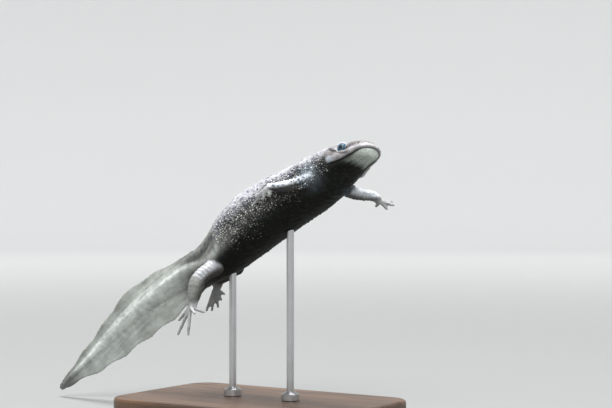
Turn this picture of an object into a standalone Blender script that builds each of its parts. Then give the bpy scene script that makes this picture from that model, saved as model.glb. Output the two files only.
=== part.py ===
"""Life-size model of a ribbed newt that swims upward, held over a flat base by two rods.

The spine is traced backward from the snout. Head, trunk and tail are lofts along it, parted by thin
cuts, and each leg is a smooth tube that starts inside the trunk and is trimmed at its surface.
+X is the newt's heading, +Y its left, +Z up. The origin is the middle of the base's underside.
"""
import math

import bmesh
import bpy
from mathutils import Matrix, Vector

# Lengths in this file are millimetres. Meshes are made in metres with this factor
MM = 0.001

# Gap that parts two pieces of the body, and a piece from what it rests on
SEAM = 0.3

# Course of the spine: distance from the snout, then climb, turn to the right and bank in degrees
COURSE = (
    (0, 16, 14, 22),
    (18, 22, 15, 21),
    (31, 28, 11, 18),
    (46, 24, 4, 18),
    (68, 34.5, 0, 15),
    (84, 37, -2, 11),
    (98, 26, -3, 8),
    (112, 28, -3, 5),
    (140, 36, 0, 3),
    (162, 41, 2, 2),
    (180, 36.5, 3, 2),
    (200, 40.5, 4, 2),
)

# Sections of head, trunk and tail core: distance from the snout, half width, height above the
# spine line, depth below it, and squareness (2 is an ellipse)
SECTIONS = (
    (0, 3.7, 2.3, 1.9, 2.4),
    (2.5, 4.8, 3.2, 2.3, 2.4),
    (6, 6.3, 4.2, 2.7, 2.4),
    (11, 7.8, 5.1, 3.4, 2.4),
    (16, 8.8, 6.3, 4.3, 2.4),
    (20, 9.4, 7.1, 5.2, 2.3),
    (24, 9.8, 8.1, 7.0, 2.2),
    (28, 10.5, 9.3, 8.9, 2.1),
    (34, 11.0, 10.6, 9.7, 2.1),
    (44, 11.8, 11.2, 10.4, 2.1),
    (56, 12.7, 12.4, 11.1, 2.1),
    (68, 13.2, 13.6, 11.0, 2.1),
    (80, 12.3, 12.6, 10.4, 2.1),
    (89, 10.6, 9.7, 9.9, 2.1),
    (97, 9.0, 7.7, 9.3, 2.0),
    (105, 6.8, 6.3, 8.4, 2.0),
    (115, 5.0, 5.4, 7.2, 2.0),
    (130, 3.9, 4.8, 6.0, 2.0),
    (150, 2.9, 3.8, 4.6, 2.0),
    (170, 2.1, 2.5, 2.7, 2.0),
    (186, 1.4, 1.4, 1.5, 2.0),
    (199, 0.9, 0.6, 0.7, 2.0),
)
SNOUT_CAP = 4.0
# Places of the rings over the rounded snout, as degrees of its quarter circle
SNOUT_TURNS = (12, 30, 50, 70, 90)
BODY_SIDES = 24
# Faces that meet at more than this angle keep a sharp edge
SHARP_ANGLE = math.radians(40)

# Lengths of the body: name, start, end and the step between rings
BODY_LENGTHS = (
    ("neck", 24.0, 29.0, 2.6),
    ("chest", 29.0, 56.0, 3.2),
    ("belly", 56.0, 82.0, 3.2),
    ("pelvis", 82.0, 104.0, 3.2),
    ("tail_base", 104.0, 132.0, 4.5),
    ("tail_middle", 132.0, 165.0, 5.0),
    ("tail_tip", 165.0, 199.0, 5.5),
)
HEAD_END = 24.0
HEAD_STEP = 2.2

# Fins: distance from the snout and height of the edge above or below the spine line
UPPER_FIN_EDGE = (
    (104, 7.2),
    (114, 7.9),
    (128, 9.2),
    (142, 10.2),
    (158, 7.8),
    (176, 5.4),
    (190, 2.9),
    (199, 1.3),
)
LOWER_FIN_EDGE = (
    (104, 9.6),
    (114, 12.2),
    (128, 13.8),
    (142, 13.2),
    (158, 11.4),
    (176, 7.3),
    (190, 3.5),
    (199, 1.6),
)
FIN_PARTING = 150.0
FIN_STEP = 5.0
FIN_EDGE_HALF = 0.3
# The fin stands on the part of the core within this angle of the ridge
FIN_FOOT_SPREAD = math.radians(30)
FIN_FOOT_SHARES = (-1, -0.5, 0, 0.5, 1)
# Heights of the points up a fin's side as shares of its height, and how quickly it thins
FIN_SIDE_SHARES = (0.3, 0.65, 1.0)
FIN_TAPER = 1.6
FIN_WAVE_LENGTH = 17.0
FIN_WAVE_SIDE = 0.7
FIN_WAVE_RISE = 0.35

# Eyeball: distance of its middle from the snout, outward, up, and its radius
EYE_PLACE = (12.6, 5.6, 1.9)
EYE_RADIUS = 2.3
# The mound round the eye: how far its middle lies inward and down from the eyeball's, and its radii
MOUND_INSET = (0.6, 0.3)
MOUND_LENGTH = 3.3
MOUND_RADIUS = 2.4
BALL_SEGMENTS = 16
BALL_RINGS = 10

# Mouth line in side view: distance from the snout and height, from the jaw angle to the front
MOUTH_LINE = (
    (19.0, -2.9),
    (14.3, -2.9),
    (11.5, -2.6),
    (7.4, -2.0),
    (3.0, -1.0),
    (1.0, -0.6),
    (-2.0, -0.5),
)
JAW_BACK = (24.0, -12.0)
# The mouth's cutters reach this far to either side
MOUTH_REACH = 20.0

# Base and rods of the stand
BASE_LENGTH = 108.0
BASE_WIDTH = 66.0
BASE_HEIGHT = 7.0
BASE_CORNER = 10.0
CORNER_SEGMENTS = 6
BASE_EDGE = 1.2
EDGE_SEGMENTS = 2
ROD_RADIUS = 1.5
ROD_STEPS = 16
COLLAR_RADIUS = 3.6
COLLAR_HEIGHT = 2.4
# Height of the sloped shoulder between the collar and the rod
COLLAR_SHOULDER = 1.2
ROD_STATIONS = {"stand_rod_front": 50.0, "stand_rod_rear": 84.0}
# The spine at this distance from the snout is over the middle of the base
POISE = 68.0
# Height of the tail's lowest point over the floor
TAIL_CLEARANCE = 3.0

# Limbs. root: distance from the snout, outward, up. The other places are forward, outward and up
# from the root: joint is the elbow or knee, wrist the wrist or ankle, palm the middle of the palm or
# sole, tips the ends of the digits. widths: distance along the limb and half its width there
ARM_ROOT = (27.8, 7.0, -4.0)
LEG_ROOT = (89.0, 5.0, -6.0)
ARM_WIDTHS = ((0, 3.2), (5, 2.7), (9, 2.3), (13, 2.1), (18, 1.7))
LEG_WIDTHS = ((0, 3.9), (7, 3.3), (12, 3.1), (16, 3.1), (21, 2.5))
LIMBS = {
    "arm_right": {
        "side": -1,
        "names": ("arm_right_upper", "arm_right_lower", "hand_right"),
        "root": ARM_ROOT,
        "joint": (-6.9, 8.0, -2.3),
        "wrist": (-16.0, 9.5, 1.3),
        "palm": (-18.5, 9.8, 2.1),
        "tips": ((-16.6, 9.6, -2.2), (-21.6, 9.4, -1.4), (-28.0, 9.4, -0.4), (-24.8, 10.8, 0.8)),
        "widths": ARM_WIDTHS,
        "palm_half": 2.0,
    },
    "arm_left": {
        "side": 1,
        "names": ("arm_left_upper", "arm_left_lower", "hand_left"),
        "root": ARM_ROOT,
        "joint": (1.1, 7.5, -0.8),
        "wrist": (1.8, 14.0, 0.2),
        "palm": (2.2, 17.0, -1.4),
        "tips": ((-1.8, 18.0, -1.6), (3.5, 19.5, -5.3), (6.1, 21.1, -4.1), (5.3, 21.3, -1.9)),
        "widths": ARM_WIDTHS,
        "palm_half": 2.0,
    },
    "leg_right": {
        "side": -1,
        "names": ("leg_right_thigh", "leg_right_shank", "foot_right"),
        "root": LEG_ROOT,
        "joint": (-7.7, 8.8, -4.1),
        "wrist": (-12.7, 10.0, -9.9),
        "palm": (-15.4, 10.5, -12.5),
        "tips": (
            (-10.8, 9.0, -18.1),
            (-11.6, 15.0, -18.8),
            (-21.4, 11.0, -22.8),
            (-26.8, 10.0, -19.2),
            (-25.2, 8.0, -13.2),
        ),
        "widths": LEG_WIDTHS,
        "palm_half": 2.8,
    },
    "leg_left": {
        "side": 1,
        "names": ("leg_left_thigh", "leg_left_shank", "foot_left"),
        "root": LEG_ROOT,
        "joint": (-8.6, 7.5, 3.7),
        "wrist": (-16.4, 8.5, 4.5),
        "palm": (-20.1, 9.0, 2.9),
        "tips": (
            (-18.7, 12.0, -1.4),
            (-21.2, 11.5, -2.9),
            (-23.9, 11.0, -4.9),
            (-26.9, 10.0, -4.8),
            (-28.4, 8.0, -4.3),
        ),
        "widths": LEG_WIDTHS,
        "palm_half": 2.8,
    },
}
LIMB_SIDES = 10
LIMB_STEP = 2.2
# A path's direction is read between points this far to either side
PATH_REACH = 0.05
# The limbs are trimmed to the trunk, which is drawn for them from the head's end to here
TRUNK_CUTTER_END = 112.0
TRUNK_CUTTER_STEP = 3.2
# Rings of the palm or sole: share of its length, and how far the wrist's shape has become its own
PALM_RINGS = ((0.0, 0.0), (0.4, 0.6), (0.75, 1.0), (0.95, 0.95))
PALM_HALF_THICKNESS = 1.0
# A digit starts at this share of the palm, and its knuckle is at this share of the way to the tip
DIGIT_START = 0.75
KNUCKLE = 0.3
DIGIT_SIDES = 7
DIGIT_STEP = 1.7
DIGIT_ROOT_HALF = 0.85
DIGIT_TIP_HALF = 0.5
# The last ring of a digit is this much thinner and stands this far from the tip
DIGIT_END_SHARE = 0.5
DIGIT_END_GAP = 0.1

# Colours
BACK_GREY = (0.27, 0.28, 0.30, 1)
BELLY_GREY = (0.12, 0.12, 0.11, 1)
TAIL_GREY = (0.36, 0.38, 0.36, 1)
DIGIT_GREY = (0.50, 0.51, 0.51, 1)
EYE_BLUE = (0.03, 0.05, 0.07, 1)
BASE_BROWN = (0.06, 0.035, 0.02, 1)
ROD_STEEL = (0.55, 0.55, 0.56, 1)


def read_table(table, at):
    """Values of a table at a distance, on a smooth curve through its rows."""
    at = min(max(at, table[0][0]), table[-1][0])
    row = 0
    while row < len(table) - 2 and at > table[row + 1][0]:
        row += 1
    span = table[row + 1][0] - table[row][0]
    part = (at - table[row][0]) / span
    values = []
    for column in range(1, len(table[0])):
        start = table[row][column]
        end = table[row + 1][column]
        leave = slope(table, row, column) * span
        arrive = slope(table, row + 1, column) * span
        values.append(
            start * (2 * part**3 - 3 * part**2 + 1)
            + leave * (part**3 - 2 * part**2 + part)
            + end * (3 * part**2 - 2 * part**3)
            + arrive * (part**3 - part**2)
        )
    return values


def slope(table, row, column):
    """Slope of one column at one row, from the rows on either side."""
    before = table[max(row - 1, 0)]
    after = table[min(row + 1, len(table) - 1)]
    return (after[column] - before[column]) / (after[0] - before[0])


def heading(along):
    """Axes of the body at one distance from the snout: forward, left and up."""
    climb, turn, bank = (math.radians(value) for value in read_table(COURSE, along))
    level = Vector((math.cos(turn), -math.sin(turn), 0))
    forward = level * math.cos(climb) + Vector((0, 0, math.sin(climb)))
    flat_left = Vector((0, 0, 1)).cross(forward).normalized()
    flat_up = forward.cross(flat_left)
    left = flat_left * math.cos(bank) - flat_up * math.sin(bank)
    up = flat_up * math.cos(bank) + flat_left * math.sin(bank)
    return forward, left, up


def trace_spine():
    """Spine points at every millimetre from the snout to the tail tip, as placed on the stand."""
    point = Vector((0, 0, 0))
    points = [point.copy()]
    for step in range(int(COURSE[-1][0])):
        point = point - heading(step + 0.5)[0]
        points.append(point.copy())
    poise = points[int(POISE)].copy()
    points = [place - poise for place in points]
    lowest = min(
        (points[along] - heading(along)[2] * read_table(LOWER_FIN_EDGE, along)[0]).z
        for along in range(int(LOWER_FIN_EDGE[0][0]), int(LOWER_FIN_EDGE[-1][0]))
    )
    lift = Vector((0, 0, TAIL_CLEARANCE - lowest))
    return [place + lift for place in points]


def spine_frame(along):
    """Spine point and body axes at one distance from the snout."""
    whole = min(int(along), len(SPINE) - 2)
    point = SPINE[whole].lerp(SPINE[whole + 1], along - whole)
    return (point,) + heading(along)


def section_point(values, angle, grow):
    """Place across and up on one section, at an angle counted from the left side."""
    half_width, above, below, power = values
    side = math.cos(angle)
    rise = math.sin(angle)
    half_height = above if rise > 0 else below
    across = (half_width + grow) * math.copysign(abs(side) ** (2 / power), side)
    height = (half_height + grow) * math.copysign(abs(rise) ** (2 / power), rise)
    return across, height


def section_at(along):
    """Section values at one distance from the snout, rounded off over the snout."""
    half_width, above, below, power = read_table(SECTIONS, along)
    if along < SNOUT_CAP:
        rounding = math.sqrt(1 - ((SNOUT_CAP - along) / SNOUT_CAP) ** 2)
        half_width *= rounding
        above *= rounding
        below *= rounding
    return half_width, above, below, power


def body_ring(along, grow=0.0):
    """Ring of points round the body at one distance from the snout."""
    point, _, left, up = spine_frame(along)
    values = section_at(along)
    ring = []
    for side in range(BODY_SIDES):
        across, height = section_point(values, 2 * math.pi * side / BODY_SIDES, grow)
        ring.append(point + left * across + up * height)
    return ring


def body_place(along, outward, rise, side=1):
    """Point in the body's own axes, outward to the left for side 1 and to the right for side -1."""
    point, _, left, up = spine_frame(along)
    return point + left * (outward * side) + up * rise


def stations(start, end, step):
    """Evenly spaced distances from start to end, no further apart than the step."""
    count = max(1, math.ceil((end - start) / step))
    return [start + (end - start) * index / count for index in range(count + 1)]


def make_mesh_object(name, mesh_source, collection):
    """Object in the collection from a bmesh in millimetres."""
    bmesh.ops.scale(mesh_source, vec=(MM, MM, MM), verts=mesh_source.verts)
    bmesh.ops.recalc_face_normals(mesh_source, faces=mesh_source.faces)
    mesh = bpy.data.meshes.new(name)
    mesh_source.to_mesh(mesh)
    mesh_source.free()
    mesh.shade_smooth()
    mesh.set_sharp_from_angle(angle=SHARP_ANGLE)
    made = bpy.data.objects.new(name, mesh)
    collection.objects.link(made)
    return made


def loft(name, rings, collection):
    """Closed solid through rings of equal counts, with a flat cap at each end."""
    surface = bmesh.new()
    rows = [[surface.verts.new(point) for point in ring] for ring in rings]
    count = len(rows[0])
    for near, far in zip(rows, rows[1:]):
        for index in range(count):
            following = (index + 1) % count
            surface.faces.new((near[index], near[following], far[following], far[index]))
    surface.faces.new(rows[0])
    surface.faces.new(rows[-1])
    return make_mesh_object(name, surface, collection)


def ball(name, centre, radii, axes, collection):
    """Ellipsoid at a centre, with its radii along the given axes."""
    surface = bmesh.new()
    bmesh.ops.create_uvsphere(surface, u_segments=BALL_SEGMENTS, v_segments=BALL_RINGS, radius=1)
    turn = Matrix([axis * radius for axis, radius in zip(axes, radii)]).transposed().to_4x4()
    bmesh.ops.transform(surface, matrix=Matrix.Translation(centre) @ turn, verts=surface.verts)
    return make_mesh_object(name, surface, collection)


def cut(target, cutter, operation="DIFFERENCE"):
    """Adds a Boolean with the cutter to the target."""
    step = target.modifiers.new(cutter.name, "BOOLEAN")
    step.operation = operation
    step.solver = "EXACT"
    step.object = cutter


def snout_stations():
    """Distances for the rings of the head, closer together over the rounded snout."""
    cap = [SNOUT_CAP * (1 - math.cos(math.radians(turn))) for turn in SNOUT_TURNS]
    return cap + stations(SNOUT_CAP, HEAD_END - SEAM / 2, HEAD_STEP)[1:]


def mouth_block(name, lift, collection):
    """Block that fills everything below the mouth line, drawn in side view and extruded across."""
    outline = [(along, height + lift) for along, height in MOUTH_LINE]
    outline.append((MOUTH_LINE[-1][0], JAW_BACK[1]))
    outline.append((JAW_BACK[0] + lift, JAW_BACK[1]))
    rings = []
    for across in (-MOUTH_REACH, MOUTH_REACH):
        ring = []
        for along, height in outline:
            point, forward, left, up = spine_frame(max(along, 0))
            ring.append(point + forward * max(-along, 0) + left * across + up * height)
        rings.append(ring)
    return loft(name, rings, collection)


def build_head(parts, cutters):
    """Head with its eye mounds and sockets, parted from the lower jaw along the mouth."""
    rings = [body_ring(along) for along in snout_stations()]
    head = loft("head", rings, parts)
    jaw = loft("lower_jaw", rings, parts)
    above_mouth = mouth_block("mouth_cutter", SEAM, cutters)
    below_mouth = mouth_block("jaw_cutter", 0.0, cutters)
    cut(head, above_mouth)
    cut(jaw, below_mouth, "INTERSECT")
    for side, side_name in ((1, "left"), (-1, "right")):
        along, outward, rise = EYE_PLACE
        axes = heading(along)
        mound_centre = body_place(along, outward - MOUND_INSET[0], rise - MOUND_INSET[1], side)
        mound_radii = (MOUND_LENGTH, MOUND_RADIUS, MOUND_RADIUS)
        mound = ball(f"mound_{side_name}", mound_centre, mound_radii, axes, cutters)
        cut(head, mound, "UNION")
        centre = body_place(along, outward, rise, side)
        socket = ball(f"socket_{side_name}", centre, (EYE_RADIUS + SEAM,) * 3, axes, cutters)
        cut(head, socket)
        ball(f"eye_{side_name}", centre, (EYE_RADIUS,) * 3, axes, parts)


def build_trunk_and_tail(parts):
    """Neck, trunk and tail core in lengths."""
    for name, start, end, step in BODY_LENGTHS:
        places = stations(start + SEAM / 2, end - SEAM / 2, step)
        loft(name, [body_ring(along) for along in places], parts)


def fin_ring(along, edge_table, direction):
    """Section of a fin: a foot along the core, then sides that taper to the edge."""
    point, _, left, up = spine_frame(along)
    values = section_at(along)
    foot = []
    for share in FIN_FOOT_SHARES:
        angle = math.pi / 2 * direction + share * FIN_FOOT_SPREAD
        foot.append(section_point(values, angle, SEAM))
    foot.sort()
    foot_half = foot[-1][0]
    foot_height = abs(foot[-1][1])
    phase = 2 * math.pi * along / FIN_WAVE_LENGTH
    edge_height = read_table(edge_table, along)[0] + FIN_WAVE_RISE * math.sin(phase)
    sides = []
    for share in FIN_SIDE_SHARES:
        height = foot_height + (edge_height - foot_height) * share
        half = FIN_EDGE_HALF + (foot_half - FIN_EDGE_HALF) * (1 - share) ** FIN_TAPER
        wave = FIN_WAVE_SIDE * share**2 * math.sin(phase + direction)
        sides.append((half, height * direction, wave))
    outline = foot
    outline = outline + [(half + wave, height) for half, height, wave in sides]
    outline = outline + [(wave - half, height) for half, height, wave in reversed(sides)]
    return [point + left * across + up * height for across, height in outline]


def build_fins(parts):
    """Upper and lower fin of the tail, each in two lengths."""
    for edge_table, direction, label in (
        (UPPER_FIN_EDGE, 1, "upper"),
        (LOWER_FIN_EDGE, -1, "lower"),
    ):
        start = edge_table[0][0] + SEAM / 2
        end = edge_table[-1][0]
        for place, low, high in (
            ("front", start, FIN_PARTING - SEAM / 2),
            ("rear", FIN_PARTING + SEAM / 2, end),
        ):
            places = stations(low, high, FIN_STEP)
            rings = [fin_ring(along, edge_table, direction) for along in places]
            loft(f"fin_{label}_{place}", rings, parts)


def path_table(points):
    """Table of a path: distance along it, then x, y and z."""
    rows = [(0.0,) + tuple(points[0])]
    for before, after in zip(points, points[1:]):
        rows.append((rows[-1][0] + (after - before).length,) + tuple(after))
    return rows


def path_ring(path, at, half_width, half_thickness, normal, sides):
    """Ring round a path, wide across the given normal."""
    ahead = Vector(read_table(path, at + PATH_REACH))
    behind = Vector(read_table(path, at - PATH_REACH))
    tangent = (ahead - behind).normalized()
    across = normal.cross(tangent).normalized() * half_width
    rise = tangent.cross(across).normalized() * half_thickness
    centre = Vector(read_table(path, at))
    angles = [2 * math.pi * side / sides for side in range(sides)]
    return [centre + across * math.cos(angle) + rise * math.sin(angle) for angle in angles]


def limb_place(limb, offset):
    """Point of a limb, from its offset forward, outward and up of the root."""
    along, outward, rise = limb["root"]
    _, forward, left, up = spine_frame(along)
    root = body_place(along, outward, rise, limb["side"])
    return root + forward * offset[0] + left * (offset[1] * limb["side"]) + up * offset[2]


def digit(name, start, knuckle, tip, normal, collection):
    """One finger or toe: a thin tapered tube that bends at the knuckle and ends round."""
    path = path_table([start, knuckle, tip])
    length = path[-1][0]
    rings = []
    for at in stations(0, length - DIGIT_TIP_HALF, DIGIT_STEP):
        half = DIGIT_ROOT_HALF + (DIGIT_TIP_HALF - DIGIT_ROOT_HALF) * at / length
        rings.append(path_ring(path, at, half, half, normal, DIGIT_SIDES))
    end_half = DIGIT_TIP_HALF * DIGIT_END_SHARE
    rings.append(path_ring(path, length - DIGIT_END_GAP, end_half, end_half, normal, DIGIT_SIDES))
    return loft(name, rings, collection)


def build_hand(limb, path, normal, parts, cutters):
    """Palm or sole on the end of the limb's path, with its digits joined on."""
    name = limb["names"][2]
    wrist_at = path[2][0]
    length = path[3][0] - wrist_at
    wrist, palm = (Vector(path[row][1:]) for row in (2, 3))
    wrist_half = limb["widths"][-1][1]
    rings = []
    for part, share in PALM_RINGS:
        at = wrist_at + max(SEAM / 2, length * part)
        half = wrist_half + (limb["palm_half"] - wrist_half) * share
        thickness = wrist_half + (PALM_HALF_THICKNESS - wrist_half) * share
        rings.append(path_ring(path, at, half, thickness, normal, LIMB_SIDES))
    hand = loft(name, rings, parts)
    for index, offset in enumerate(limb["tips"]):
        tip = limb_place(limb, offset)
        start = wrist.lerp(palm, DIGIT_START)
        knuckle = palm.lerp(tip, KNUCKLE)
        finger = digit(f"{name}_digit_{index + 1}", start, knuckle, tip, normal, cutters)
        cut(hand, finger, "UNION")


def build_limb(limb, body_cutter, parts, cutters):
    """Upper and lower length of one limb, trimmed at the trunk, and its hand or foot."""
    offsets = ((0, 0, 0), limb["joint"], limb["wrist"], limb["palm"])
    root, joint, wrist, palm = (limb_place(limb, offset) for offset in offsets)
    path = path_table([root, joint, wrist, palm])
    first_tip = limb_place(limb, limb["tips"][0])
    last_tip = limb_place(limb, limb["tips"][-1])
    normal = (first_tip - palm).cross(last_tip - palm).normalized()
    joint_at = path[1][0]
    wrist_at = path[2][0]
    for name, start, end in (
        (limb["names"][0], 0.0, joint_at - SEAM / 2),
        (limb["names"][1], joint_at + SEAM / 2, wrist_at - SEAM / 2),
    ):
        rings = []
        for at in stations(start, end, LIMB_STEP):
            half = read_table(limb["widths"], at)[0]
            rings.append(path_ring(path, at, half, half, normal, LIMB_SIDES))
        length = loft(name, rings, parts)
        if start == 0.0:
            cut(length, body_cutter)
    build_hand(limb, path, normal, parts, cutters)


def build_base(parts):
    """Flat base with round corners and a softened upper edge."""
    surface = bmesh.new()
    size = Matrix.Diagonal((BASE_LENGTH, BASE_WIDTH, BASE_HEIGHT, 1))
    place = Matrix.Translation((0, 0, BASE_HEIGHT / 2))
    bmesh.ops.create_cube(surface, size=1, matrix=place @ size)
    middle = BASE_HEIGHT / 2
    bmesh.ops.bevel(
        surface,
        geom=[edge for edge in surface.edges if edge.verts[0].co.xy == edge.verts[1].co.xy],
        offset=BASE_CORNER,
        segments=CORNER_SEGMENTS,
        profile=0.5,
        affect="EDGES",
        material=-1,
    )
    bmesh.ops.bevel(
        surface,
        geom=[edge for edge in surface.edges if min(vert.co.z for vert in edge.verts) > middle],
        offset=BASE_EDGE,
        segments=EDGE_SEGMENTS,
        profile=0.5,
        affect="EDGES",
        material=-1,
    )
    make_mesh_object("stand_base", surface, parts)


def build_rod(name, along, body_cutter, parts):
    """Upright rod with a collar at its foot, trimmed to the belly above it."""
    point = spine_frame(along)[0]
    foot = BASE_HEIGHT + SEAM
    top = point.z
    profile = (
        (0.0, top),
        (ROD_RADIUS, top),
        (ROD_RADIUS, foot + COLLAR_HEIGHT + COLLAR_SHOULDER),
        (COLLAR_RADIUS, foot + COLLAR_HEIGHT),
        (COLLAR_RADIUS, foot),
        (0.0, foot),
    )
    mesh = bpy.data.meshes.new(name)
    corners = [(radius * MM, 0, height * MM) for radius, height in profile]
    edges = [(index, index + 1) for index in range(len(profile) - 1)]
    mesh.from_pydata(corners, edges, [])
    rod = bpy.data.objects.new(name, mesh)
    rod.location = (point.x * MM, point.y * MM, 0)
    parts.objects.link(rod)
    turn = rod.modifiers.new("Turn", "SCREW")
    turn.steps = ROD_STEPS
    turn.render_steps = ROD_STEPS
    turn.use_merge_vertices = True
    turn.merge_threshold = 0.00001
    cut(rod, body_cutter)


def paint(parts):
    """Gives each piece a material of its own."""
    for piece in parts.objects:
        if piece.name == "stand_base":
            colour, roughness, metallic = BASE_BROWN, 0.4, 0.0
        elif piece.name.startswith("stand_rod"):
            colour, roughness, metallic = ROD_STEEL, 0.25, 1.0
        elif piece.name.startswith("eye"):
            colour, roughness, metallic = EYE_BLUE, 0.08, 0.0
        elif piece.name.startswith(("tail", "fin")):
            colour, roughness, metallic = TAIL_GREY, 0.5, 0.0
        elif piece.name.startswith(("hand", "foot")):
            colour, roughness, metallic = DIGIT_GREY, 0.5, 0.0
        elif piece.name == "lower_jaw":
            colour, roughness, metallic = BELLY_GREY, 0.5, 0.0
        else:
            colour, roughness, metallic = BACK_GREY, 0.5, 0.0
        material = bpy.data.materials.new(piece.name)
        material.use_nodes = True
        shader = material.node_tree.nodes["Principled BSDF"]
        shader.inputs["Base Color"].default_value = colour
        shader.inputs["Roughness"].default_value = roughness
        shader.inputs["Metallic"].default_value = metallic
        piece.data.materials.append(material)


def main():
    for old in list(bpy.data.objects):
        bpy.data.objects.remove(old)
    parts = bpy.data.collections.new("newt")
    cutters = bpy.data.collections.new("cutters")
    bpy.context.scene.collection.children.link(parts)
    bpy.context.scene.collection.children.link(cutters)
    build_head(parts, cutters)
    build_trunk_and_tail(parts)
    build_fins(parts)
    places = stations(HEAD_END, TRUNK_CUTTER_END, TRUNK_CUTTER_STEP)
    body_cutter = loft("body_cutter", [body_ring(along, SEAM) for along in places], cutters)
    for limb in LIMBS.values():
        build_limb(limb, body_cutter, parts, cutters)
    build_base(parts)
    for name, along in ROD_STATIONS.items():
        build_rod(name, along, body_cutter, parts)
    for cutter in cutters.objects:
        cutter.hide_render = True
        cutter.display_type = "WIRE"
    paint(parts)


SPINE = trace_spine()
main()
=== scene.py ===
"""Looks of the life-size ribbed newt: one skin over head, trunk, tail and legs, warts, eyes, stand."""

import itertools
import math

import bmesh
import bpy
import numpy as np
from mathutils import Matrix, Vector, noise


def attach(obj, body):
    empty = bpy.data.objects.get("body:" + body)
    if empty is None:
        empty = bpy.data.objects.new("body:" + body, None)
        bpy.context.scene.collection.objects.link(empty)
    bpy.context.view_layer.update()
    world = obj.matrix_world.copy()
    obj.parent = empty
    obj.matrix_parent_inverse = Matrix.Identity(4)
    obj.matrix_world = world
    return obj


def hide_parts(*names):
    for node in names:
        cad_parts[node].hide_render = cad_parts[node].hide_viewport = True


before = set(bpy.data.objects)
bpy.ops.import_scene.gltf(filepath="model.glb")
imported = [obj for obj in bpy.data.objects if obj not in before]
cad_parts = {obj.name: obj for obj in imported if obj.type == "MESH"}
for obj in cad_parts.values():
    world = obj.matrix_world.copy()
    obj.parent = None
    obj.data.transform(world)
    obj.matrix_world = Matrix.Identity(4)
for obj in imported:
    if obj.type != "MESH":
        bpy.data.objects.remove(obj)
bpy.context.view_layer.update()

# Shapes are worked out in millimetres, and a finished mesh is made metres with this factor
MM = 0.001

# Course of the spine: distance from the snout, then climb, turn to the right and bank in degrees
COURSE = (
    (0, 16, 14, 22),
    (18, 22, 15, 21),
    (31, 28, 11, 18),
    (46, 24, 4, 18),
    (68, 34.5, 0, 15),
    (84, 37, -2, 11),
    (98, 26, -3, 8),
    (112, 28, -3, 5),
    (140, 36, 0, 3),
    (162, 41, 2, 2),
    (180, 36.5, 3, 2),
    (200, 40.5, 4, 2),
)

# Sections: distance from the snout, half width, height over the spine, depth under it, squareness
SECTIONS = (
    (0, 3.7, 2.3, 1.9, 2.4),
    (2.5, 4.8, 3.2, 2.3, 2.4),
    (6, 6.3, 4.2, 2.7, 2.4),
    (11, 7.8, 5.1, 3.4, 2.4),
    (16, 8.8, 6.3, 4.3, 2.4),
    (20, 9.4, 7.1, 5.2, 2.3),
    (24, 9.8, 8.1, 7.0, 2.2),
    (28, 10.5, 9.3, 8.9, 2.1),
    (34, 11.0, 10.6, 9.7, 2.1),
    (44, 11.8, 11.2, 10.4, 2.1),
    (56, 12.7, 12.4, 11.1, 2.1),
    (68, 13.2, 13.6, 11.0, 2.1),
    (80, 12.3, 12.6, 10.4, 2.1),
    (89, 10.6, 9.7, 9.9, 2.1),
    (97, 9.0, 7.7, 9.3, 2.0),
    (105, 6.8, 6.3, 8.4, 2.0),
    (115, 5.0, 5.4, 7.2, 2.0),
    (130, 3.9, 4.8, 6.0, 2.0),
    (150, 2.9, 3.8, 4.6, 2.0),
    (170, 2.1, 2.5, 2.7, 2.0),
    (186, 1.4, 1.4, 1.5, 2.0),
    (199, 0.9, 0.6, 0.7, 2.0),
)
# Length over which the snout rounds off, and length of the body
SNOUT_CAP = 4.0
BODY_END = 199.0
# Place on the spine that lies over the origin, and height of the lowest fin edge over the floor
POISE = 68
TAIL_CLEARANCE = 3.0

# Fins: distance from the snout and height of the edge above or below the spine line
FIN_START = 104.0
FIN_STATIONS = (104, 114, 128, 142, 158, 176, 190, 199)
UPPER_FIN_EDGE = tuple(zip(FIN_STATIONS, (7.2, 7.9, 9.2, 10.2, 7.8, 5.4, 2.9, 1.3)))
LOWER_FIN_EDGE = tuple(zip(FIN_STATIONS, (9.6, 12.2, 13.8, 13.2, 11.4, 7.3, 3.5, 1.6)))
# A fin starts so far before its edge's table, with its root in the core at this share of its height
FIN_LEAD = 2.0
FIN_ROOT_SHARE = 0.5
# Half thickness: at the foot as a share of the core's half width, how fast it falls, and at the edge
FIN_FOOT_SHARE = 0.45
FIN_TAPER = 1.6
FIN_EDGE_HALF = 0.32
# Shares of the height over which edge and root round off
FIN_EDGE_ROUND = 0.06
FIN_ROOT_ROUND = 0.1
# Wave of the fins' edges: its length, and how far it goes to the side and up
FIN_WAVE_LENGTH = 17.0
FIN_WAVE_SIDE = 0.7
FIN_WAVE_RISE = 0.35

# Eyeball: distance of its middle from the snout, outward, up, and its radius
EYE_PLACE = (12.6, 5.6, 1.9)
EYE_RADIUS = 2.3
# Way the eye looks, as shares of forward, outward and up
EYE_LOOK = (0.42, 0.88, -0.1)
# Half angles of the lid opening along the head and across it
LID_LONG = math.radians(70)
LID_HIGH = math.radians(48)
# The lids end between these distances from the eye's middle
LID_REACH = (2.9, 4.3)
# Edge of the opening. Inside it the skin is tucked in under the eyeball, outside it stays clear of it
LID_EDGE = 1.02
LID_GAP = 0.06
LID_TUCK = 0.7
LID_CLEARANCE = 0.08
# Nostril: distance from the snout, outward and up
NOSTRIL_PLACE = (4.5, 5.3, 1.6)
# Mound of flesh round the eye: how far it is set in and down, and its half sizes
MOUND_INSET = (0.6, 0.3)
MOUND_RADII = (3.3, 2.4, 2.4)

# Mouth line in side view: distance from the snout and height, from the front to the jaw angle
MOUTH_LINE = ((-2, -0.5), (1, -0.6), (3, -1.0), (7.4, -2.0), (11.5, -2.6), (14.3, -2.9), (19, -2.9))

# Height of the crease that runs under the eye and up behind it, darkened with painted shade
EYE_CREASE = ((7.0, -0.6), (9.7, -1.3), (11.6, -1.1), (13.7, 0.1), (15.6, 1.3), (18.3, 3.3))
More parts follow.
